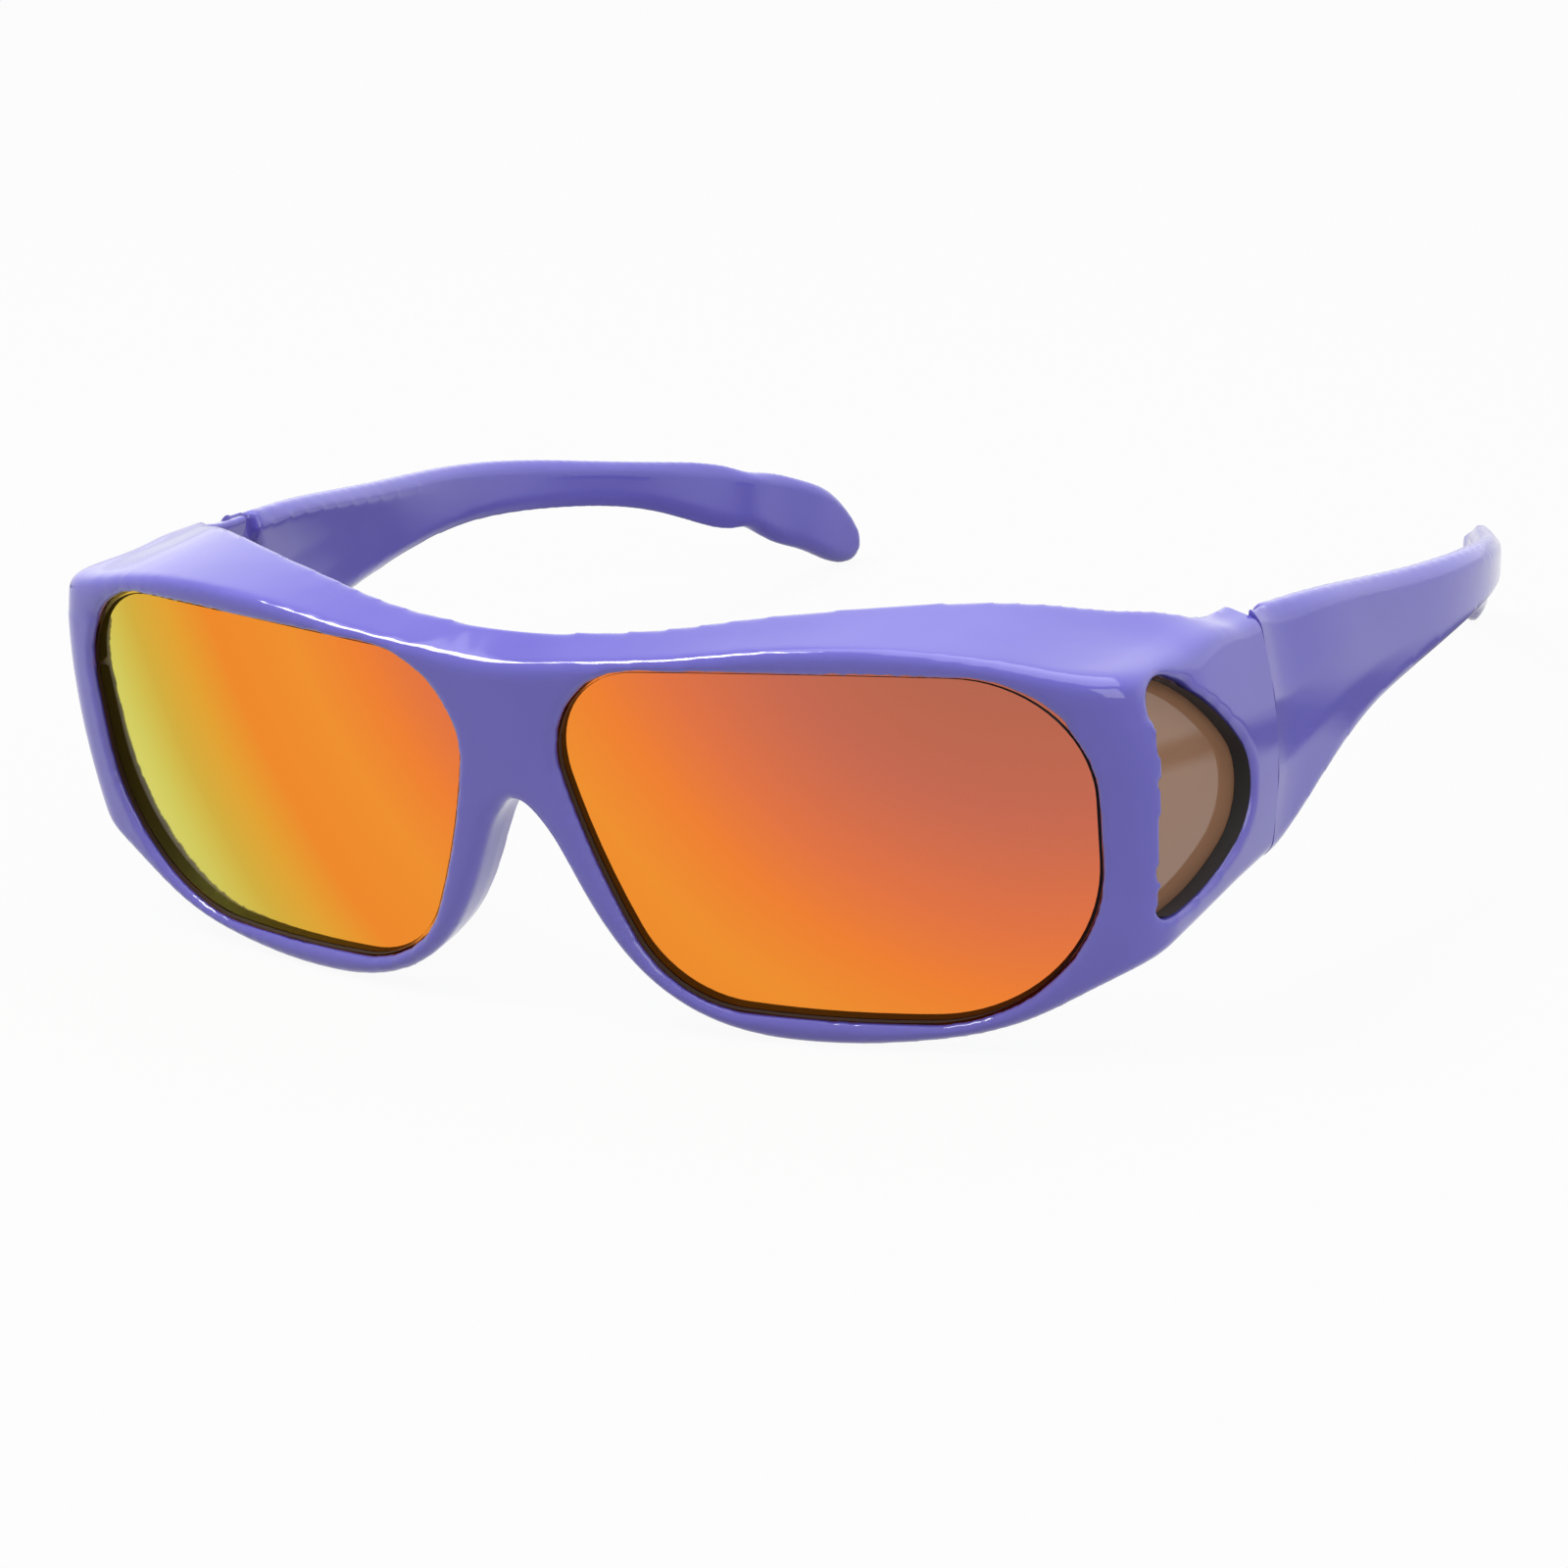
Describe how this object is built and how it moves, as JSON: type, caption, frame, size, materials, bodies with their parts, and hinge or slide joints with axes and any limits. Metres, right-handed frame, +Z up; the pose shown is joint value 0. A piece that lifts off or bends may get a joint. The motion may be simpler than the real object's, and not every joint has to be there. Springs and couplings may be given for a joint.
{
  "type": "fitover sunglasses",
  "caption": "Large wrap-around sunglasses worn over ordinary glasses, with mirrored front lenses, side windows, a brow ledge and folding temples.",
  "frame": {"origin": "centre of the footprint, on the floor that the rims and the temple tips rest on", "axes": "+X to the wearer's left, +Y from the front towards the ears, +Z up"},
  "size_m": [0.144, 0.1694, 0.0463],
  "materials": {
    "frame_plastic": "glossy moulded purple plastic",
    "mirror_lens": "orange-red mirror coating on a tinted lens",
    "smoke_lens": "smooth brown smoke tint",
    "hinge_metal": "satin steel"
  },
  "bodies": {
    "front": {"front_frame": "frame_plastic", "lens_left": "mirror_lens", "lens_right": "mirror_lens", "side_lens_left": "smoke_lens", "side_lens_right": "smoke_lens", "hinge_front_leaf_left": "hinge_metal", "hinge_front_leaf_right": "hinge_metal", "hinge_screw_left": "hinge_metal", "hinge_screw_right": "hinge_metal"},
    "left_temple": {"temple_left": "frame_plastic", "hinge_temple_leaf_left": "hinge_metal"},
    "right_temple": {"temple_right": "frame_plastic", "hinge_temple_leaf_right": "hinge_metal"}
  },
  "joints": [
    {"name": "left_temple_fold", "type": "hinge", "parent": "front", "child": "left_temple", "pos_m": [0.0652, -0.04107, 0.03148], "axis": [0, 0.128, 0.9918], "range_deg": [0, 84]},
    {"name": "right_temple_fold", "type": "hinge", "parent": "front", "child": "right_temple", "pos_m": [-0.0652, -0.04107, 0.03148], "axis": [0, -0.128, -0.9918], "range_deg": [0, 77]}
  ]
}
